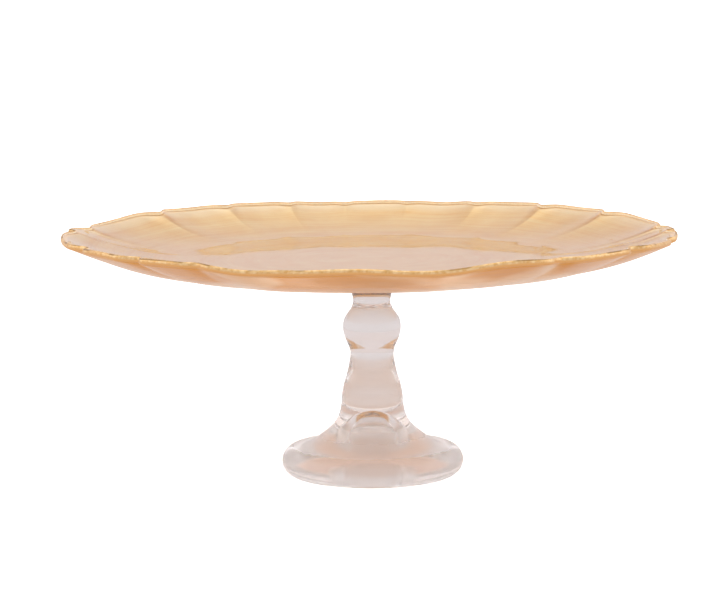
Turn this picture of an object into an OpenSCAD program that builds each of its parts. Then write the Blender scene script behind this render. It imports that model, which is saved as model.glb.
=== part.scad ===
// Footed cake stand: a slumped clear-glass plate with a scalloped rim, gilded on its underside
// and along its edge, bonded to a pressed clear-glass pedestal.
// Millimetres, +Z up. The origin is on the resting surface, under the axis of the stem.
// A direction is an angle from the front (-Y), growing towards +X.

/* [Plate] */
// Diameter over the widest scallops, before the gilding
plate_d = 311.4; // [270:0.2:340]
// Height of the rim's top edge above the resting surface
rim_h = 125.1; // [118:0.1:138]
// Diameter of the flat floor inside the plate
floor_d = 164; // [120:1:200]
// Diameter of the flat under the plate
under_flat_d = 160; // [110:1:190]
// Depth of the plate, from the rim's top edge down to the floor
well_depth = 13.4; // [11:0.1:17]
// Thickness of the glass at the centre
glass_t = 5.4; // [4.5:0.1:6.5]
// Thickness of the glass at the rim
rim_t = 2.4; // [2:0.1:4]
// How the wall curls up from the flat to the rim: higher keeps the curl nearer the rim
curl_power = 2.3; // [1.8:0.1:3]
// How rounded the fire-polished edge is, measured inwards from the edge
edge_round = 0.8; // [0.6:0.1:1.8]
// How far the plate's centre sits towards -X from the axis of the stem
plate_offset = 1.1; // [0:0.1:2]

/* [Scallops] */
// Factor on the depth of the notches between the scallops
notch_factor = 1; // [0.2:0.1:1.4]
// How sharp the notches are: higher keeps the scallops rounder
notch_power = 8; // [4:1:16]
// How deep a fold dents the wall below its notch, as a share of the depth of the notch
dent_share = 0.7; // [0:0.1:1]
// Factor on the rise and fall of the rim
lift_factor = 1; // [0:0.1:1.5]

/* [Gilding] */
// Thickness of the gold film under the plate
leaf_t = 0.1; // [0.1:0.05:0.2]
// Thickness of the lacquer that seals the gold film
lacquer_t = 0.15; // [0.1:0.05:0.3]
// Width of the gold band on the face above and below the edge
band_w = 0.2; // [0.1:0.1:4]

/* [Pedestal] */
// Diameter of the foot
foot_d = 92.8; // [90:0.1:100]
// Radius of the foot's rolled edge
foot_edge_r = 7.6; // [7:0.1:8]
// Height of the domed hollow that rises from the foot's underside
hollow_h = 33; // [20:0.5:34]
// Diameter of the hollow's mouth
hollow_d = 30.8; // [24:0.2:31]
// Depth of the groove between the two flat rings that the foot rests on
groove_depth = 0.5; // [0.2:0.1:1.5]
// Diameter of the flange that the plate is bonded to
flange_d = 46; // [44:1:50]
// Thickness of the flange at its rim
flange_t = 3; // [2.5:0.1:4]
// Thickness of the adhesive
bond_t = 0.4; // [0.2:0.05:0.8]
// Diameter of the adhesive
bond_d = 44; // [34:1:44]

/* [Hidden] */

$fn = 96;

// The hand-made variation of the rim, one row for each fold:
// [direction, depth of its notch, height of the rim at it above the mean, how far the scallop
// between it and the next fold bows up]
FOLDS = [
    [-175, 3, -0.6, -0.4], [-163, 4, 0.2, 0], [-149, 4, 0.6, -0.4], [-131, 6, 0.6, -0.8],
    [-106, 4, -1.6, 0.4], [-95, 4, 0.2, 0], [-67, 5.5, 0, 0.8], [-47, 6, 0.2, 0.4],
    [-32, 3, 0.6, -1], [-15, 2, -1, 1.4], [11, 2, -1.4, 2], [37, 5.5, 0.8, 0.2],
    [57, 5.5, 1.2, 0], [77, 3, -0.4, 0], [90, 4, 0, 0], [100, 4, -0.8, -0.4],
    [123, 6, 0.8, -0.4], [141, 6, 1, 0], [157, 4, 0.2, -0.8], [172, 3, -0.2, 0.2],
];
fold_count = len(FOLDS);
directions_per_scallop = 8;
// How soon a fold's dent in the upper surface fades sideways, and how close to the rim its lip stays
dent_power = 2;
lip_power = 12;
// Wall stations between the edge of the flat and the gold band, as shares of that width
WALL_STATIONS = [0, 0.16, 0.36, 0.56, 0.75, 0.9, 1];
edge_segments = 4;

plate_r = plate_d / 2;
floor_z = rim_h - well_depth;
under_z = floor_z - glass_t;
film_t = leaf_t + lacquer_t;
seat_z = under_z - film_t;
pedestal_h = seat_z - bond_t;
foot_r = foot_d / 2;
seat_r = foot_r - foot_edge_r;

// ---- Plate surfaces: a ring of directions, and closed loops of points around it ----

// Each scallop's directions as [direction, share along the scallop, its fold, the next fold]
function scallop_dirs(i) =
    let (a = FOLDS[i], next = FOLDS[(i + 1) % fold_count],
         span = next[0] - a[0] + (i + 1 == fold_count ? 360 : 0))
    [for (j = [0 : directions_per_scallop - 1])
        let (u = (1 - cos(180 * j / directions_per_scallop)) / 2)
        [a[0] + span * u, u, a, next]];
DIRS = [for (i = [0 : fold_count - 1]) each scallop_dirs(i)];
dir_count = len(DIRS);

function mix(a, b, s) = a + (b - a) * s;
function ease(u) = u * u * (3 - 2 * u);
// 1 at a fold, falling to 0 at the middle of a scallop
function bell(d, power) = pow((1 + cos(360 * d[1])) / 2, power);
function notch_depth(d) = notch_factor * (d[1] < 0.5 ? d[2][1] : d[3][1]);
function edge_r(d) = plate_r - notch_depth(d) * bell(d, notch_power);
// Where a surface of the wall would end if its fold were a dent without a notch: a wide soft bell in
// the upper surface, and a crisp valley between the rounded scallops in the underside
function top_curl_r(d) = plate_r - dent_share * notch_depth(d) * bell(d, dent_power);
function under_curl_r(d) = plate_r - dent_share * notch_depth(d) * (1 - sin(180 * d[1]));
function rim_lift(d) =
    lift_factor * (mix(d[2][2], d[3][2], ease(d[1])) + d[2][3] * pow(sin(180 * d[1]), 2));

// Height of a plate surface that is flat out to flat_r and then curls up to top_z at the edge.
// The wall curls as if it ended at curl_r; a lip at each notch brings its edge up to the rim.
function surface_z(d, r, curl_r, flat_r, flat_z, top_z) =
    let (out = max(0, r - flat_r),
         curl = pow(out / (curl_r - flat_r), curl_power),
         missing = 1 - pow((edge_r(d) - flat_r) / (curl_r - flat_r), curl_power),
         lip = missing * pow(out / (edge_r(d) - flat_r), lip_power))
    mix(flat_z, top_z + rim_lift(d), curl + lip);
function top_surface(d, r) = surface_z(d, r, top_curl_r(d), floor_d / 2, floor_z, rim_h);
function under_surface(d, r, drop) =
    surface_z(d, r, under_curl_r(d), under_flat_d / 2, under_z, rim_h - rim_t) - drop;

function round_r(d) = edge_r(d) - edge_round;
function band_r(d) = round_r(d) - band_w;
function station_r(d, flat_r, s) = mix(flat_r, band_r(d), s);

// Points of one direction, as [radius, height]
function top_path(d) =
    [for (s = WALL_STATIONS) let (r = station_r(d, floor_d / 2, s)) [r, top_surface(d, r)]];
function under_path(d, drop) =
    [for (s = WALL_STATIONS)
        let (r = station_r(d, under_flat_d / 2, s)) [r, under_surface(d, r, drop)]];
// The rounded edge from its upper to its lower end, grown outwards by a thickness
function edge_path(d, grow) =
    let (r = round_r(d), high = top_surface(d, r), low = under_surface(d, r, 0),
         mid = (high + low) / 2, half = (high - low) / 2)
    [for (k = [0 : edge_segments])
        let (a = 90 - 180 * k / edge_segments)
        [r + (edge_round + grow) * cos(a), mid + (half + grow) * sin(a)]];
function reversed(path) = [for (k = [len(path) - 1 : -1 : 0]) path[k]];

function glass_path(d) = concat(top_path(d), edge_path(d, 0), reversed(under_path(d, 0)));
function film_path(d, upper, lower) =
    concat(under_path(d, upper), reversed(under_path(d, lower)));
function band_path(d) =
    let (r = band_r(d), high = top_surface(d, r), low = under_surface(d, r, 0))
    concat([[r, high]], [[r, high + film_t]], edge_path(d, film_t),
           [[r, low - film_t]], [[r, low]], reversed(edge_path(d, 0)));

function around(d, p) = [p[0] * sin(d[0]), -p[0] * cos(d[0]), p[1]];

// Solid swept by one path of points per direction. A capped solid closes its first and last
// rows with flat faces; an open ring closes its last row onto its first.
module swept(paths, capped) {
    rows = len(paths[0]);
    points = [for (k = [0 : dir_count - 1]) each [for (p = paths[k]) around(DIRS[k], p)]];
    bands = capped ? rows - 1 : rows;
    sides = [for (k = [0 : dir_count - 1], m = [0 : bands - 1])
        let (n = (k + 1) % dir_count, q = (m + 1) % rows,
             a = k * rows + m, b = n * rows + m, c = n * rows + q, e = k * rows + q)
        each [[a, e, c], [a, c, b]]];
    first_cap = [for (k = [0 : dir_count - 1]) k * rows];
    last_cap = [for (k = [dir_count - 1 : -1 : 0]) k * rows + rows - 1];
    polyhedron(points, capped ? concat(sides, [first_cap, last_cap]) : sides);
}

// Places a piece of the plate, which sits a little off the pedestal's axis
module seated() {
    translate([-plate_offset, 0, 0])
        children();
}

// Clear slumped glass
module glass_plate() {
    color([0.93, 0.86, 0.78, 0.5])
        seated()
            swept([for (d = DIRS) glass_path(d)], true);
}

// Gold film on the glass, under the plate
module gold_leaf() {
    color([0.85, 0.66, 0.38])
        seated()
            swept([for (d = DIRS) film_path(d, 0, leaf_t)], true);
}

// Clear lacquer over the gold film
module seal_lacquer() {
    color([0.88, 0.72, 0.52])
        seated()
            swept([for (d = DIRS) film_path(d, leaf_t, film_t)], true);
}

// Bright gold band that wraps the edge
module rim_gilding() {
    color([0.93, 0.75, 0.40])
        seated()
            swept([for (d = DIRS) band_path(d)], false);
}

// Cured clear adhesive between the pedestal's flange and the lacquer
module bond_film() {
    color([0.92, 0.92, 0.90])
        translate([0, 0, pedestal_h])
            cylinder(h = bond_t, d = bond_d);
}

// ---- Pedestal: one outline turned about the stem's axis ----

// Outline of the domed hollow as [radius, height], drawn for a hollow of the given size
HOLLOW_KNOTS = [
    [0, 33], [3, 32.2], [6, 29.7], [8.6, 25.8], [10.8, 21.5], [12.8, 16.5], [14.2, 10],
    [14.9, 4], [15.2, 1], [15.4, 0],
];
hollow_drawn_h = 33;
hollow_drawn_d = 30.8;
// The groove between the two rings that the foot rests on, and the slopes at its sides
inner_seat_r = 26;
outer_seat_w = 1.6;
groove_slope = 1.8;

// Outline of the stem as [radius, height above the foot's upper face], drawn for a stem that
// rises stem_drawn_h to the top of the flange, and stretched to the height it needs
STEM_KNOTS = [
    [seat_r, 0], [35.5, 0.5], [30.8, 2.2], [26.4, 5.2], [22.5, 8.2], [19.2, 11.6],
    [17, 15.8], [15.9, 20.4], [15.5, 25.4], [14.4, 30.9], [12.7, 36.4], [11.6, 41.4],
    [11.1, 44.7], [11.6, 48.4], [13.1, 51.8], [14.4, 55.4], [14.8, 59], [14.3, 62.4],
    [12.7, 65.1], [10.8, 67.7], [9.7, 70.2], [9.7, 73], [10.9, 76.4], [14.5, 80],
];
stem_drawn_h = 86.9;
steps_per_knot = 3;
foot_arc_steps = 12;
// Rounding of the flange's lower and upper rim, and the width of the slope under it
flange_round = 0.8;
flange_slope = 3;

foot_top_z = 2 * foot_edge_r;
stem_stretch = (pedestal_h - foot_top_z) / stem_drawn_h;
flange_r = flange_d / 2;
flange_low_z = pedestal_h - flange_t;

// Smooth curve through a list of knots, without the first one
function spline(a, b, c, d, u) =
    0.5 * (2 * b + (c - a) * u + (2 * a - 5 * b + 4 * c - d) * u * u
        + (3 * b - a - 3 * c + d) * u * u * u);
function knot(knots, k) = knots[min(max(k, 0), len(knots) - 1)];
function curve(knots) =
    [for (k = [0 : len(knots) - 2], j = [1 : steps_per_knot])
        spline(knot(knots, k - 1), knot(knots, k), knot(knots, k + 1), knot(knots, k + 2),
               j / steps_per_knot)];

function hollow_curve() =
    let (wide = hollow_d / hollow_drawn_d, high = hollow_h / hollow_drawn_h)
    curve([for (p = HOLLOW_KNOTS) [p[0] * wide, p[1] * high]]);
function groove_path() =
    [[inner_seat_r, 0], [inner_seat_r + groove_slope, groove_depth],
     [seat_r - outer_seat_w - groove_slope, groove_depth], [seat_r - outer_seat_w, 0]];
function foot_arc() =
    [for (k = [0 : foot_arc_steps])
        let (a = -90 + 180 * k / foot_arc_steps)
        [seat_r + foot_edge_r * cos(a), foot_edge_r + foot_edge_r * sin(a)]];
function stem_curve() =
    curve(concat(
        [for (p = STEM_KNOTS) [p[0], foot_top_z + p[1] * stem_stretch]],
        [[flange_r - flange_slope, flange_low_z - flange_round],
         [flange_r - flange_round, flange_low_z]]));

// Pressed clear glass: foot, flared stem, waist, knop, neck and flange in one piece
module pedestal() {
    color([0.86, 0.84, 0.84, 0.6])
        rotate_extrude()
            polygon(concat(
                [[0, hollow_h]],
                hollow_curve(),
                groove_path(),
                foot_arc(),
                stem_curve(),
                [[flange_r, flange_low_z + flange_round], [flange_r, pedestal_h - flange_round],
                 [flange_r - flange_round, pedestal_h], [0, pedestal_h]]));
}

glass_plate();
gold_leaf();
seal_lacquer();
rim_gilding();
bond_film();
pedestal();
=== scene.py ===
"""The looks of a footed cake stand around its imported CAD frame.

A slumped clear-glass plate with a scalloped rim, gilded on its underside and along its edge, stands on a
pressed clear-glass pedestal. Lengths are in metres; a length written in millimetres is multiplied by MM.
A direction is an angle from the front (-Y), growing towards +X, as in the CAD model.
"""

import math

import bpy
import numpy as np
from mathutils import Matrix, Vector


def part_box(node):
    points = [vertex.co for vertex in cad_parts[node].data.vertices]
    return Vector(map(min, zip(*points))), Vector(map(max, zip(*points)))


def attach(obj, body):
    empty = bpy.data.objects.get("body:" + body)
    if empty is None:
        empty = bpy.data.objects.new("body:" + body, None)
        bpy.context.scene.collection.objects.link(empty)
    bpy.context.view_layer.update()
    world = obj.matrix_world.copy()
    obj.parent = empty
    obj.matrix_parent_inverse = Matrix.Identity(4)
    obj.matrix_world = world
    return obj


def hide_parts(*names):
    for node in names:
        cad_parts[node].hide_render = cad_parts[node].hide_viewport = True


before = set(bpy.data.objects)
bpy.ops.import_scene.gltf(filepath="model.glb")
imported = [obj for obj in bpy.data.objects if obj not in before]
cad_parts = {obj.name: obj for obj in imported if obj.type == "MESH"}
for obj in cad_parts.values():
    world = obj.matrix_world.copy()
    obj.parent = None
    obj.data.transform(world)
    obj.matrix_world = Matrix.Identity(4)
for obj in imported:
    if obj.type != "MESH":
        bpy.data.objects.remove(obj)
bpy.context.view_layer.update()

MM = 0.001

# ---- Sizes, from the frame where it gives them ----

BOND_LOW, BOND_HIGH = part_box("bond_film")
PEDESTAL_LOW, PEDESTAL_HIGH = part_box("pedestal")

# The plate's rim and rounded edge, then the flat parts of its upper surface and of its underside
PLATE_R = 155.7 * MM
RIM_Z = 125.1 * MM
RIM_T = 2.4 * MM
EDGE_ROUND = 0.8 * MM
WELL_R = 82 * MM
WELL_DEPTH = 13.4 * MM
UNDER_FLAT_R = 80 * MM
GLASS_T = 5.4 * MM
# The plate sits this far to the left of the pedestal's axis
PLATE_OFFSET = 1.1 * MM

# Depths below the glass. The leaf is set into the glass by INSET and ends at LEAF_END, and the lacquer
# starts inside the leaf and ends at FILM_T, so that no air gap shows between them
INSET = 0.08 * MM
LACQUER_START = 0.05 * MM
LEAF_END = 0.1 * MM
FILM_T = 0.25 * MM
# How far the gilded band reaches in over the wall from the rounded edge
BAND_W = 0.2 * MM
# How far the adhesive bites into the pedestal below it and the lacquer above it, and bulges between them
BOND_BITE_LOW, BOND_BITE_HIGH = 0.1 * MM, 0.05 * MM
BOND_BULGE = 0.1 * MM

WELL_Z = RIM_Z - WELL_DEPTH
UNDER_Z = WELL_Z - GLASS_T
SEAT_Z = UNDER_Z - FILM_T
PEDESTAL_H = PEDESTAL_HIGH.z
BOND_R = (BOND_HIGH.x - BOND_LOW.x) / 2
FOOT_R = (PEDESTAL_HIGH.x - PEDESTAL_LOW.x) / 2

# ---- The rim's hand-made variation ----

# One row for each fold: its direction in degrees, then in mm the depth of its notch, the height of
# the rim at it, and how far the next scallop bows up between its two folds
FOLDS = [
    (-175, 3, -0.6, -0.4), (-163, 4, 0.2, 0), (-149, 4, 0.6, -0.4), (-131, 6, 0.6, -0.8),
    (-106, 4, -1.6, 0.4), (-95, 4, 0.2, 0), (-67, 5.5, 0, 0.8), (-47, 6, 0.2, 0.4),
    (-32, 3, 0.6, -1), (-15, 2, -1, 1.4), (11, 2, -1.4, 2), (37, 5.5, 0.8, 0.2),
    (57, 5.5, 1.2, 0), (77, 3, -0.4, 0), (90, 4, 0, 0), (100, 4, -0.8, -0.4),
    (123, 6, 0.8, -0.4), (141, 6, 1, 0), (157, 4, 0.2, -0.8), (172, 3, -0.2, 0.2),
]
# Each fold also dents the wall below it by a share of its notch's depth: the upper surface in a wide
# soft bell, and the underside in a crisp valley between the rounded scallops
DENT_SHARE = 0.7
# Powers, each making its part of the shape sharper as it grows: the wall's curl, a notch, the upper
# surface's dent, and the lip that brings the edge at a notch up to the rim's height
CURL_POWER = 2.3
NOTCH_POWER = 16
DENT_POWER = 4
LIP_POWER = 12
# How finely the plate's meshes are cut, round each scallop and across the flat, the wall and the edge
STEPS_PER_SCALLOP = 36
FLAT_ROWS = 10
WALL_ROWS = 40
EDGE_ROWS = 12


class Directions:
    """The directions round the plate, closer together at the folds, with the rim's shape at each.

    The glass ends at edge_r, its walls give way to the rounded edge at wall_r, and the gilded band starts
    at band_r. The walls curl as if they ended at top_curl_r and under_curl_r.
    """

    def __init__(self):
        rows = []
        for fold, next_fold in zip(FOLDS, FOLDS[1:] + FOLDS[:1]):
            for j in range(STEPS_PER_SCALLOP):
                u = (1 - math.cos(math.pi * j / STEPS_PER_SCALLOP)) / 2
                rows.append(self.between(fold, next_fold, u))
        self.angle, self.edge_r, self.top_curl_r, self.under_curl_r, self.lift = np.array(rows).T
        self.wall_r = self.edge_r - EDGE_ROUND
        self.band_r = self.wall_r - BAND_W

    @staticmethod
    def between(fold, next_fold, u):
        """The rim at a share u of the way from one fold to the next, as one value for each array."""
        angle, notch, lift, bow = fold
        next_angle, next_notch, next_lift, _ = next_fold
        span = (next_angle - angle) % 360
        depth = (notch if u < 0.5 else next_notch) * MM
        near = math.cos(math.pi * u) ** NOTCH_POWER
        bell = DENT_SHARE * math.cos(math.pi * u) ** DENT_POWER
        valley = DENT_SHARE * (1 - math.sin(math.pi * u))
        ease = u * u * (3 - 2 * u)
        rise = lift + (next_lift - lift) * ease + bow * math.sin(math.pi * u) ** 2
        return (math.radians(angle + span * u), PLATE_R - depth * near, PLATE_R - depth * bell,
                PLATE_R - depth * valley, rise * MM)


DIRS = Directions()


def surface_z(r, curl_r, flat_r, flat_z, end_z):
    """Height of a plate surface that is flat out to flat_r and then curls up to end_z at the edge.

    The wall curls as if it ended at curl_r; a lip at each notch brings its edge up to the rim's height.
    """
    out = np.maximum(0, r - flat_r)
    curl = (out / (curl_r - flat_r)) ** CURL_POWER
    missing = 1 - ((DIRS.edge_r - flat_r) / (curl_r - flat_r)) ** CURL_POWER
    lip = missing * (out / (DIRS.edge_r - flat_r)) ** LIP_POWER
    return flat_z + (end_z + DIRS.lift - flat_z) * (curl + lip)


def top_z(r):
    return surface_z(r, DIRS.top_curl_r, WELL_R, WELL_Z, RIM_Z)


def under_z(r):
    return surface_z(r, DIRS.under_curl_r, UNDER_FLAT_R, UNDER_Z, RIM_Z - RIM_T)


def stations(flat_r, end_r):
    """Radii from near the centre to end_r, each an array with one value per direction."""
    flat = [np.full_like(end_r, flat_r * k / FLAT_ROWS) for k in range(1, FLAT_ROWS + 1)]
    wall = [flat_r + (end_r - flat_r) * k / WALL_ROWS for k in range(1, WALL_ROWS + 1)]
    return flat + wall


def edge_rows(grow):
    """The rounded edge from its upper to its lower end, grown outwards by a thickness."""
    high, low = top_z(DIRS.wall_r), under_z(DIRS.wall_r)
    mid, half = (high + low) / 2, (high - low) / 2
    rows = []
    for k in range(EDGE_ROWS + 1):
        a = math.pi * (0.5 - k / EDGE_ROWS)
        rows.append((DIRS.wall_r + (EDGE_ROUND + grow) * math.cos(a), mid + (half + grow) * math.sin(a)))
    return rows


# ---- Meshes ----

def mesh_object(name, vertices, faces, material):
    mesh = bpy.data.meshes.new(name)
    mesh.from_pydata([tuple(v) for v in vertices], [], faces)
    mesh.validate()
    mesh.shade_smooth()
    mesh.materials.append(material)
    made = bpy.data.objects.new(name, mesh)
    bpy.context.scene.collection.objects.link(made)
    return made


def swept(angles, rows, start_z=None, end_z=None, ring=False):
    """Vertices and faces through rows of (radii, heights). A start_z or end_z closes that end with a fan.

    A ring joins its last row to its first.
    """
    count = len(angles)
    points = []
    for radii, heights in rows:
        radii, heights = np.broadcast_to(radii, count), np.broadcast_to(heights, count)
        points.append(np.stack([radii * np.sin(angles), -radii * np.cos(angles), heights], axis=1))
    vertices = np.concatenate(points)
    faces = []
    for m in range(len(rows) if ring else len(rows) - 1):
        a, b = m * count, (m + 1) % len(rows) * count
        for k in range(count):
            n = (k + 1) % count
            faces.append((a + k, b + k, b + n, a + n))
    if start_z is not None:
        centre = len(vertices)
        vertices = np.vstack([vertices, [0, 0, start_z]])
        faces += [(centre, k, (k + 1) % count) for k in range(count)]
    if end_z is not None:
        centre, last = len(vertices), (len(rows) - 1) * count
        vertices = np.vstack([vertices, [0, 0, end_z]])
        faces += [(centre, last + (k + 1) % count, last + k) for k in range(count)]
    return vertices, faces


def round_angles(steps):
    """Evenly spaced directions all the way round."""
    return np.arange(steps) * 2 * math.pi / steps


def plate_piece(name, material, rows, start_z=None, end_z=None, ring=False):
    """A piece of the plate, which sits a little off the pedestal's axis."""
    vertices, faces = swept(DIRS.angle, rows, start_z, end_z, ring)
    return mesh_object(name, vertices - [PLATE_OFFSET, 0, 0], faces, material)


# ---- Node graphs ----

# Ring coordinates are steady only beyond this radius
RINGS_START_R = 0.1 * MM


class Graph:
    """A short way to write shader node graphs."""

    def __init__(self, tree):
        self.tree = tree
        tree.nodes.clear()

    def add(self, kind, inputs=None, **settings):
        """A node with its inputs linked to a socket or set to a value, by their names or indices."""
        node = self.tree.nodes.new(kind)
        for key, value in settings.items():
            setattr(node, key, value)
        for key, value in (inputs or {}).items():
            if isinstance(value, bpy.types.NodeSocket):
                self.tree.links.new(value, node.inputs[key])
            else:
                node.inputs[key].default_value = value
        return node

    def math(self, operation, a, b=0.0):
        return self.add("ShaderNodeMath", {0: a, 1: b}, operation=operation).outputs[0]

    def length(self, x, y):
        squares = self.math("ADD", self.math("MULTIPLY", x, x), self.math("MULTIPLY", y, y))
        return self.math("SQRT", squares)

    def average(self, a, b, share):
        """The given share of a, with the rest from b."""
        return self.math("ADD", self.math("MULTIPLY", a, share), self.math("MULTIPLY", b, 1 - share))

    def noise(self, vector, scale, detail, roughness=0.5):
        inputs = {"Vector": vector, "Scale": scale, "Detail": detail, "Roughness": roughness}
        return self.add("ShaderNodeTexNoise", inputs).outputs["Fac"]

    def remap(self, value, span, target=(0.0, 1.0)):
        """The value with its span stretched to the target, and held at the target's ends."""
        inputs = {
            "Value": value,
            "From Min": span[0],
            "From Max": span[1],
            "To Min": target[0],
            "To Max": target[1],
        }
        return self.add("ShaderNodeMapRange", inputs).outputs["Result"]

    def mix(self, factor, a, b):
        """Colour a where the factor is 0, and b where it is 1. The sockets share names: they go by index."""
        return self.add("ShaderNodeMix", {0: factor, 6: a, 7: b}, data_type="RGBA").outputs[2]

    def bump(self, height, strength, distance):
        inputs = {"Height": height, "Strength": strength, "Distance": distance}
        return self.add("ShaderNodeBump", inputs).outputs["Normal"]

    def position(self):
        return self.add("ShaderNodeTexCoord").outputs["Object"]

    def axes(self, vector):
        return self.add("ShaderNodeSeparateXYZ", {0: vector}).outputs

    def radius(self):
        """Distance from the upright axis that runs through the pedestal."""
        axes = self.axes(self.position())
        return self.length(axes["X"], axes["Y"])

    def rings(self, around, across):
        """Coordinates that are stretched into rings: slow round the plate and fast across the radius."""
        axes = self.axes(self.position())
        r = self.length(axes["X"], axes["Y"])
        safe_r = self.math("MAXIMUM", r, RINGS_START_R)
        inputs = {
            "X": self.math("MULTIPLY", self.math("DIVIDE", axes["X"], safe_r), around),
            "Y": self.math("MULTIPLY", self.math("DIVIDE", axes["Y"], safe_r), around),
            "Z": self.math("MULTIPLY", r, across),
        }
        return self.add("ShaderNodeCombineXYZ", inputs).outputs[0]


def new_material(name):
    material = bpy.data.materials.new(name)
    material.use_nodes = True
    return material, Graph(material.node_tree)


def finish_surface(graph, inputs):
    shader = graph.add("ShaderNodeBsdfPrincipled", inputs)
    graph.add("ShaderNodeOutputMaterial", {"Surface": shader.outputs[0]})


# ---- Materials ----

# Colours are linear, with alpha last. Where a material has two tones, a noise mixes them
WHITE = (1, 1, 1, 1)
PLATE_TINT = (0.99, 0.985, 0.975, 1)
STEM_TINT = (0.925, 0.92, 0.922, 1)
FOOT_TINT = (0.985, 0.99, 0.995, 1)
ADHESIVE_TINT = (0.97, 0.96, 0.94, 1)
LEAF_DEEP, LEAF_PALE = (0.86, 0.53, 0.18, 1), (1.0, 0.80, 0.45, 1)
# A painted highlight, mixed into the leaf towards the rim
LEAF_PAINTED_HIGHLIGHT = (1.0, 0.90, 0.68, 1)
LACQUER_DEEP, LACQUER_PALE = (0.76, 0.37, 0.08, 1), (0.85, 0.46, 0.13, 1)
LACQUER_SMEARED = (0.90, 0.62, 0.34, 1)
RIM_DULL, RIM_BRIGHT = (0.80, 0.48, 0.18, 1), (1.0, 0.76, 0.42, 1)
# Painted shade: a deeper amber where the rim faces down, and dark patches along its crest
RIM_AMBER_SHADE = (0.84, 0.48, 0.19, 1)
RIM_CREST_SHADE = (0.44, 0.26, 0.10, 1)
# Painted light: the band's glass side, pale and glowing though it is no lamp
RIM_PAINTED_BRIGHT_DEEP, RIM_PAINTED_BRIGHT_PALE = (0.98, 0.80, 0.54, 1), (1.0, 0.90, 0.72, 1)
RIM_PAINTED_GLOW = (1.0, 0.76, 0.46, 1)

# Each roughness is a pair, with a noise between the two
PLATE_ROUGHNESS = (0.03, 0.08)
PEDESTAL_ROUGHNESS = (0.03, 0.06)
ADHESIVE_ROUGHNESS = (0.03, 0.1)
LEAF_ROUGHNESS = (0.29, 0.45)
LACQUER_ROUGHNESS = (0.3, 0.5)
RIM_ROUGHNESS = (0.29, 0.45)
RIM_GLASS_SIDE_ROUGHNESS = (0.4, 0.6)
GLASS_IOR = 1.5

# Spans of a noise's values: all but the rarest, the most common, and these with the higher ones
WIDE_NOISE = (0.3, 0.7)
COMMON_NOISE = (0.35, 0.65)
HIGH_NOISE = (0.35, 0.75)

# Streaks in the gold films: how much they change round the plate, and how many lie across a metre of
# radius, then the streaks' share of the tone, with the rest from a mottle
FINE_STREAKS = (2.2, 900)
BROAD_STREAKS = (1.6, 160)
STREAK_SHARE = 0.7
# Beyond this radius a painted highlight makes the gold leaf paler towards the rim, by this share at the rim
LEAF_HIGHLIGHT_R = 144 * MM
LEAF_HIGHLIGHT_SHARE = 0.9
# Narrow spans of a noise, which make clear-cut smears in the lacquer and patches of painted shade on the rim
SMEAR_SPAN = (0.47, 0.57)
PATCH_SPAN = (0.46, 0.58)
# How far the rim's surface faces up, from -1 to 1, where its painted crest shade comes in and where its
# painted amber shade ends
CREST_SHADE_UP = (0.40, 0.60)
AMBER_SHADE_UP = (-0.15, 0.1)
# Roughness that handling and pressing marks add to the foot. It fades out up the stem, between two
# heights, and fades in part towards the rounded edge, between two radii
FOOT_HAZE = 0.28
FOOT_HAZE_HEIGHTS = (30 * MM, 18 * MM)
EDGE_HAZE_RADII = (38 * MM, 43 * MM)
EDGE_HAZE_SHARE = 0.72


def plate_glass():
    """Slumped glass: gently waved, and faintly smeared."""
    material, g = new_material("plate_glass")
    wave = g.noise(g.position(), scale=38, detail=1.5)
    smear = g.noise(g.position(), scale=260, detail=3)
    finish_surface(g, {
        "Base Color": PLATE_TINT,
        "Transmission Weight": 1.0,
        "IOR": GLASS_IOR,
        "Roughness": g.remap(smear, HIGH_NOISE, PLATE_ROUGHNESS),
        "Normal": g.bump(wave, strength=0.12, distance=0.4 * MM),
    })
    return material


def streaked_gold(name, deep, pale, roughness):
    """Gold film with fine concentric streaks and a soft mottle, ready for what one film adds to it."""
    material, g = new_material(name)
    fine = g.noise(g.rings(*FINE_STREAKS), scale=1, detail=3, roughness=0.6)
    broad = g.noise(g.rings(*BROAD_STREAKS), scale=1, detail=2, roughness=0.55)
    mottle = g.noise(g.position(), scale=55, detail=4, roughness=0.6)
    streak = g.average(fine, broad, share=0.5)
    tone = g.average(streak, mottle, share=STREAK_SHARE)
    inputs = {
        "Base Color": g.mix(g.remap(tone, COMMON_NOISE), deep, pale),
        "Metallic": 1.0,
        "Roughness": g.remap(streak, WIDE_NOISE, roughness),
        "Normal": g.bump(streak, strength=0.6, distance=0.12 * MM),
    }
    return material, g, inputs


def leaf_gold():
    """The gilding that shows through the glass, with a painted highlight that makes it paler towards the
    rim.
    """
    material, g, inputs = streaked_gold("leaf_gold", LEAF_DEEP, LEAF_PALE, LEAF_ROUGHNESS)
    # Painted highlight: the leaf turns paler towards the rim
    rim_highlight = g.remap(g.radius(), (LEAF_HIGHLIGHT_R, PLATE_R), (0, LEAF_HIGHLIGHT_SHARE))
    inputs["Base Color"] = g.mix(rim_highlight, inputs["Base Color"], LEAF_PAINTED_HIGHLIGHT)
    finish_surface(g, inputs)
    return material


def lacquer():
    """The amber seal that shows from below: half glossy, with paler smears."""
    material, g, inputs = streaked_gold("lacquer", LACQUER_DEEP, LACQUER_PALE, LACQUER_ROUGHNESS)
    smear = g.remap(g.noise(g.position(), scale=20, detail=2), SMEAR_SPAN)
    inputs["Base Color"] = g.mix(smear, inputs["Base Color"], LACQUER_SMEARED)
    inputs.update({"Coat Weight": 0.5, "Coat IOR": GLASS_IOR, "Coat Roughness": 0.12})
    finish_surface(g, inputs)
    return material


def rim_lumps(g):
    return g.noise(g.position(), scale=420, detail=3, roughness=0.6)


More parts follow.
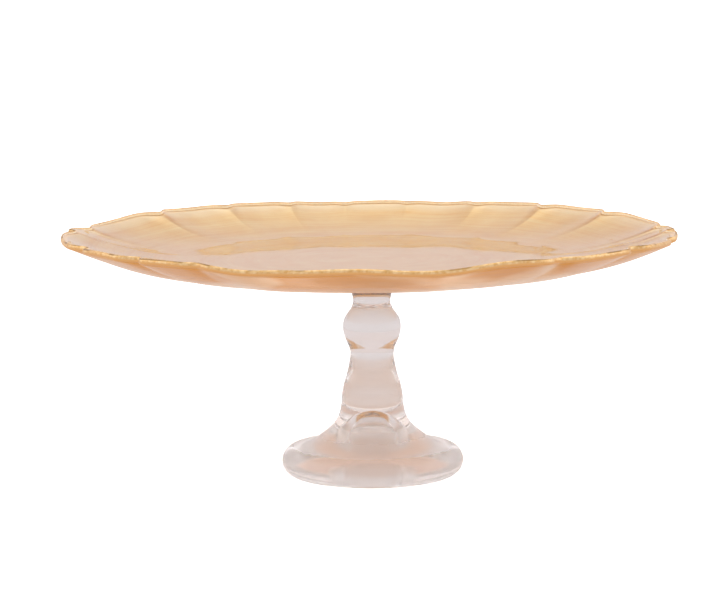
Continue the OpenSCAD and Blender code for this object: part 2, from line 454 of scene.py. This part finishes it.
def rim_gold():
    """A band of bright and dull burnished gold, with painted shade: dark patches along its upward-facing
    crest, and deeper amber where it faces down.
    """
    material, g = new_material("rim_gold")
    lumps = rim_lumps(g)
    patches = g.noise(g.position(), scale=60, detail=3, roughness=0.6)
    up = g.axes(g.add("ShaderNodeNewGeometry").outputs["Normal"])["Z"]
    # Painted shade: dark patches along the upward-facing crest
    crest_shade = g.math("MULTIPLY", g.remap(up, CREST_SHADE_UP), g.remap(patches, PATCH_SPAN))
    burnished = g.mix(g.remap(lumps, COMMON_NOISE), RIM_DULL, RIM_BRIGHT)
    # Painted shade: deeper amber where the band faces down
    shaded_below = g.mix(g.remap(up, AMBER_SHADE_UP), RIM_AMBER_SHADE, burnished)
    finish_surface(g, {
        "Base Color": g.mix(crest_shade, shaded_below, RIM_CREST_SHADE),
        "Metallic": 1.0,
        "Roughness": g.remap(lumps, WIDE_NOISE, RIM_ROUGHNESS),
        "Normal": g.bump(lumps, strength=0.5, distance=0.25 * MM),
    })
    return material


def rim_gold_painted_glow():
    """The band as seen through the glass, painted pale and evenly bright and made to glow, in place of the
    shade its glass side would show.
    """
    material, g = new_material("rim_gold_painted_glow")
    lumps = rim_lumps(g)
    finish_surface(g, {
        "Base Color": g.mix(g.remap(lumps, COMMON_NOISE), RIM_PAINTED_BRIGHT_DEEP, RIM_PAINTED_BRIGHT_PALE),
        "Roughness": g.remap(lumps, WIDE_NOISE, RIM_GLASS_SIDE_ROUGHNESS),
        # A painted glow
        "Emission Color": RIM_PAINTED_GLOW,
        "Emission Strength": 0.38,
    })
    return material


def pedestal_glass():
    """Pressed glass: clear in the stem, and softly hazed by handling and pressing marks in the foot."""
    material, g = new_material("pedestal_glass")
    low = g.remap(g.axes(g.position())["Z"], FOOT_HAZE_HEIGHTS)
    edge = g.remap(g.radius(), EDGE_HAZE_RADII, (1, EDGE_HAZE_SHARE))
    haze = g.math("MULTIPLY", g.math("MULTIPLY", low, edge), FOOT_HAZE)
    smear = g.noise(g.position(), scale=200, detail=3)
    wave = g.noise(g.position(), scale=55, detail=1.5)
    finish_surface(g, {
        "Base Color": g.mix(low, STEM_TINT, FOOT_TINT),
        "Transmission Weight": 0.9,
        "IOR": GLASS_IOR,
        "Roughness": g.math("ADD", haze, g.remap(smear, HIGH_NOISE, PEDESTAL_ROUGHNESS)),
        "Normal": g.bump(wave, strength=0.2, distance=0.5 * MM),
    })
    return material


def adhesive():
    """A clear film, faintly uneven."""
    material, g = new_material("adhesive")
    smear = g.noise(g.position(), scale=300, detail=2)
    finish_surface(g, {
        "Base Color": ADHESIVE_TINT,
        "Transmission Weight": 1.0,
        "IOR": GLASS_IOR,
        "Roughness": g.remap(smear, WIDE_NOISE, ADHESIVE_ROUGHNESS),
    })
    return material


# ---- The plate and its films ----

def plate_rows():
    top = [(r, top_z(r)) for r in stations(WELL_R, DIRS.wall_r)]
    under = [(r, under_z(r)) for r in stations(UNDER_FLAT_R, DIRS.wall_r)]
    return top[:-1] + edge_rows(0) + under[:-1][::-1]


def film(name, material, end_r, upper, lower):
    """A film under the plate, out to end_r and between two depths below the glass."""
    high = [(r, under_z(r) - upper) for r in stations(UNDER_FLAT_R, end_r)]
    low = [(r, under_z(r) - lower) for r in stations(UNDER_FLAT_R, end_r)]
    return plate_piece(name, material, high + low[::-1], UNDER_Z - upper, UNDER_Z - lower)


def band_rows():
    """Rows of the gold band over the edge; it bites a little into the glass."""
    high, low = top_z(DIRS.band_r), under_z(DIRS.band_r)
    outside = [(DIRS.band_r, high), *edge_rows(FILM_T), (DIRS.band_r, low - FILM_T)]
    inside = [(DIRS.band_r, low + INSET), *edge_rows(-INSET)[::-1], (DIRS.band_r, high - INSET)]
    return outside + inside


def make_band():
    """The gilded rim. The second half of its rows is its glass side, which has its own material, painted
    pale and glowing.
    """
    band = plate_piece("gold_band", rim_gold(), band_rows(), ring=True)
    band.data.materials.append(rim_gold_painted_glow())
    faces = band.data.polygons
    for face in faces[len(faces) // 2:]:
        face.material_index = 1
    return band


def make_plate():
    glass = plate_piece("plate_glass_body", plate_glass(), plate_rows(), WELL_Z, UNDER_Z)
    leaf = film("gold_film", leaf_gold(), DIRS.wall_r, -INSET, LEAF_END)
    seal = film("lacquer_coat", lacquer(), DIRS.band_r, LACQUER_START, FILM_T)
    return [(glass, "glass_plate", "plate_glass"), (leaf, "gold_leaf", "leaf_gold"),
            (seal, "seal_lacquer", "lacquer"), (make_band(), "rim_gilding", "rim_gold")]


# ---- The pedestal and its adhesive ----

FOOT_EDGE_R = 7.6 * MM
HOLLOW_H = 33 * MM
# Outline of the foot's underside in mm, as (radius, height): the domed hollow, the seat, a shallow groove
# and the seat again
UNDERSIDE_KNOTS = [
    (3, 32.2), (6, 29.7), (8.6, 25.8), (10.8, 21.5), (12.8, 16.5), (14.2, 10), (14.9, 4),
    (15.2, 1), (15.4, 0), (17, 0), (21, 0), (26, 0), (26.9, 0.3), (27.8, 0.5), (31, 0.5),
    (35.4, 0.5), (36.3, 0.3), (37.2, 0),
]
FLANGE_R = 23 * MM
FLANGE_T = 3 * MM
FLANGE_ROUND = 0.8 * MM
FLANGE_SLOPE = 3 * MM
# Outline of the stem in mm, as (radius, height above the foot's upper face), and the height from there to
# the pedestal's top that it is drawn for. It is stretched to the height that the frame gives
STEM_KNOTS = [
    (35.5, 0.5), (30.8, 2.2), (26.4, 5.2), (22.5, 8.2), (19.2, 11.6), (17, 15.8), (15.9, 20.4),
    (15.5, 25.4), (14.4, 30.9), (12.7, 36.4), (11.6, 41.4), (11.1, 44.7), (11.6, 48.4),
    (13.1, 51.8), (14.4, 55.4), (14.8, 59), (14.3, 62.4), (12.7, 65.1), (10.8, 67.7), (9.7, 70.2),
    (9.7, 73), (10.9, 76.4), (14.5, 80),
]
STEM_DRAWN_H = 86.9 * MM
PEDESTAL_SEGMENTS = 192
STEPS_PER_KNOT = 8
FOOT_ARC_STEPS = 32
CORNER_STEPS = 5


def spline(points, steps):
    """Catmull-Rom curve through the points, without the first one."""
    points = np.array(points)
    padded = np.vstack([points[0], points, points[-1]])
    curve = []
    for a, b, c, d in zip(padded, padded[1:], padded[2:], padded[3:]):
        for j in range(1, steps + 1):
            u = j / steps
            curve.append(0.5 * (2 * b + (c - a) * u + (2 * a - 5 * b + 4 * c - d) * u ** 2
                                + (3 * b - a - 3 * c + d) * u ** 3))
    return curve


def arc(centre_r, centre_z, radius, start, end, steps):
    """Points on an arc between two angles in degrees, which grow from straight out to straight up."""
    made = []
    for k in range(steps + 1):
        a = math.radians(start + (end - start) * k / steps)
        made.append((centre_r + radius * math.cos(a), centre_z + radius * math.sin(a)))
    return made


def pedestal_outline():
    """From the middle of the hollow, round the foot and up the stem to the top of the flange."""
    seat_r = FOOT_R - FOOT_EDGE_R
    foot_top = 2 * FOOT_EDGE_R
    stretch = (PEDESTAL_H - foot_top) / STEM_DRAWN_H
    corner_r = FLANGE_R - FLANGE_ROUND
    flange_low = PEDESTAL_H - FLANGE_T
    under = spline([(r * MM, z * MM) for r, z in UNDERSIDE_KNOTS] + [(seat_r, 0)], STEPS_PER_KNOT)
    under = [(r, max(z, 0)) for r, z in under]
    foot = arc(seat_r, FOOT_EDGE_R, FOOT_EDGE_R, -90, 90, FOOT_ARC_STEPS)
    knots = [(seat_r, foot_top)]
    knots += [(r * MM, foot_top + z * MM * stretch) for r, z in STEM_KNOTS]
    knots += [(FLANGE_R - FLANGE_SLOPE, flange_low - FLANGE_ROUND), (corner_r, flange_low)]
    corner_low = arc(corner_r, flange_low + FLANGE_ROUND, FLANGE_ROUND, -90, 0, CORNER_STEPS)
    corner_high = arc(corner_r, PEDESTAL_H - FLANGE_ROUND, FLANGE_ROUND, 0, 90, CORNER_STEPS)
    return under + foot[1:] + spline(knots, STEPS_PER_KNOT) + corner_low[1:] + corner_high


def lathe(name, outline, low_z, high_z, material):
    """A round piece from its outline, which goes from inside its underside out and up to its top."""
    vertices, faces = swept(round_angles(PEDESTAL_SEGMENTS), outline[::-1], high_z, low_z)
    return mesh_object(name, vertices, faces, material)


def make_pedestal():
    body = lathe("pedestal_body", pedestal_outline(), HOLLOW_H, PEDESTAL_H, pedestal_glass())
    return [(body, "pedestal", "pedestal_glass")]


def make_bond():
    """It bites into the glass below and the lacquer above, so no air gap shows."""
    low, high = PEDESTAL_H - BOND_BITE_LOW, SEAT_Z + BOND_BITE_HIGH
    inner_r = BOND_R - BOND_BULGE
    outline = [(inner_r, low), (BOND_R, (low + high) / 2), (inner_r, high)]
    return [(lathe("adhesive_film", outline, low, high, adhesive()), "bond_film", "adhesive")]


# ---- Studio ----

# How the glass and the gold see the table, in rings of painted shade and light for the plate's shadow and
# the gold's warm bounce:
# its tone under the hollow, then for each ring around it the two radii in mm between which its tone comes in
TABLE_PAINTED_TONE = (0.66, 0.54, 0.48, 1)
TABLE_PAINTED_RINGS = [
    (14, 20, (0.66, 0.55, 0.49, 1)), (25, 33, (0.95, 0.94, 0.95, 1)),
    (70, 82, (0.61, 0.54, 0.50, 1)), (100, 200, (0.56, 0.54, 0.545, 1)),
]
# How brightly the table glows: to the glass and the gold, and to the camera
TABLE_GLOW = (0.5, 1)
TABLE_ROUGHNESS = 0.9
TABLE_R, TABLE_INNER_R = 12.0, 3.0
TABLE_SEGMENTS = 96

# The studio that the glass and the gold see: its tones in front, behind and overhead, then how far a
# direction points back and up, from -1 to 1, as one tone gives way to the next
STUDIO_FRONT = (0.72, 0.66, 0.67, 1)
STUDIO_BACK = (0.885, 0.79, 0.775, 1)
STUDIO_TOP = (0.94, 0.90, 0.88, 1)
BACK_SPAN = (-0.6, 0.3)
TOP_SPAN = (0.3, 0.9)

# One row for each square softbox: its name, its place and its side in metres, and its power in watts
SOFTBOXES = [
    ("softbox_left", (-1.9, 0.2, 1.1), 1.4, 3),
    ("softbox_right", (1.9, 0.2, 1.1), 1.4, 3),
    ("softbox_top", (0, 0.3, 2.4), 1.8, 5),
]

# The camera's place and the point it looks at, its roll in degrees, its lens and sensor in mm, and how far
# it sees in metres
CAMERA_PLACE = (0, -1.6, 0.3063)
CAMERA_TARGET = (-0.00595, 0, 0.0891)
CAMERA_ROLL = -0.42
CAMERA_LENS, CAMERA_SENSOR = 158.6, 36
CAMERA_REACH = 40

# Light has to pass through both walls of the glass and come back off the gold
BOUNCES, GLOSSY_BOUNCES = 24, 16


def make_floor():
    """A pale table: evenly white to the camera, and in soft rings of painted shade and light to the glass
    and the gold.
    """
    material, g = new_material("studio_floor")
    distance = g.radius()
    tone = TABLE_PAINTED_TONE
    # Painted shade and light: rings of tone for the plate's shadow and the gold's bounce
    for start, end, next_painted_tone in TABLE_PAINTED_RINGS:
        tone = g.mix(g.remap(distance, (start * MM, end * MM)), tone, next_painted_tone)
    seen = g.add("ShaderNodeLightPath").outputs["Is Camera Ray"]
    finish_surface(g, {
        "Base Color": tone,
        "Roughness": TABLE_ROUGHNESS,
        # To the glass and the gold these painted tones also glow
        "Emission Color": g.mix(seen, tone, WHITE),
        "Emission Strength": g.remap(seen, (0, 1), TABLE_GLOW),
    })
    vertices, faces = swept(round_angles(TABLE_SEGMENTS), [(TABLE_R, 0), (TABLE_INNER_R, 0)], end_z=0)
    floor = mesh_object("studio_floor", vertices, faces, material)


def make_world():
    """A white backdrop for the camera, and a softly graded studio for what glass and gold reflect."""
    world = bpy.data.worlds.new("studio")
    bpy.context.scene.world = world
    world.use_nodes = True
    g = Graph(world.node_tree)
    direction = g.axes(g.add("ShaderNodeTexCoord").outputs["Generated"])
    sides = g.mix(g.remap(direction["Y"], BACK_SPAN), STUDIO_FRONT, STUDIO_BACK)
    studio = g.mix(g.remap(direction["Z"], TOP_SPAN), sides, STUDIO_TOP)
    shown = g.mix(g.add("ShaderNodeLightPath").outputs["Is Camera Ray"], studio, WHITE)
    background = g.add("ShaderNodeBackground", {"Color": shown, "Strength": 1.0})
    g.add("ShaderNodeOutputWorld", {"Surface": background.outputs[0]})


def facing(place, target):
    """The rotation of a camera or light that looks from its place at a target."""
    return (Vector(target) - Vector(place)).to_track_quat("-Z", "Y")


def make_lights():
    for name, place, side, power in SOFTBOXES:
        light = bpy.data.lights.new(name, "AREA")
        light.shape = "SQUARE"
        light.size = side
        light.energy = power
        lamp = bpy.data.objects.new(name, light)
        lamp.location = place
        lamp.rotation_euler = facing(place, (0, 0, RIM_Z / 2)).to_euler()
        bpy.context.scene.collection.objects.link(lamp)


def make_camera():
    """A long lens a little above the rim, looking slightly down."""
    camera = bpy.data.objects.new("camera", bpy.data.cameras.new("camera"))
    camera.data.lens = CAMERA_LENS
    camera.data.sensor_width = CAMERA_SENSOR
    camera.data.clip_end = CAMERA_REACH
    camera.location = CAMERA_PLACE
    level = facing(CAMERA_PLACE, CAMERA_TARGET).to_matrix()
    camera.rotation_euler = (level @ Matrix.Rotation(math.radians(CAMERA_ROLL), 3, "Z")).to_euler()
    bpy.context.scene.collection.objects.link(camera)
    bpy.context.scene.camera = camera


def main():
    scene = bpy.context.scene
    scene.view_settings.view_transform = "Standard"
    scene.cycles.max_bounces = BOUNCES
    scene.cycles.glossy_bounces = GLOSSY_BOUNCES
    scene.cycles.transmission_bounces = BOUNCES
    make_camera()
    make_world()
    make_lights()
    make_floor()
    for piece, node, slot in make_plate() + make_bond() + make_pedestal():
        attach(piece, "root")
        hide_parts(node)


main()
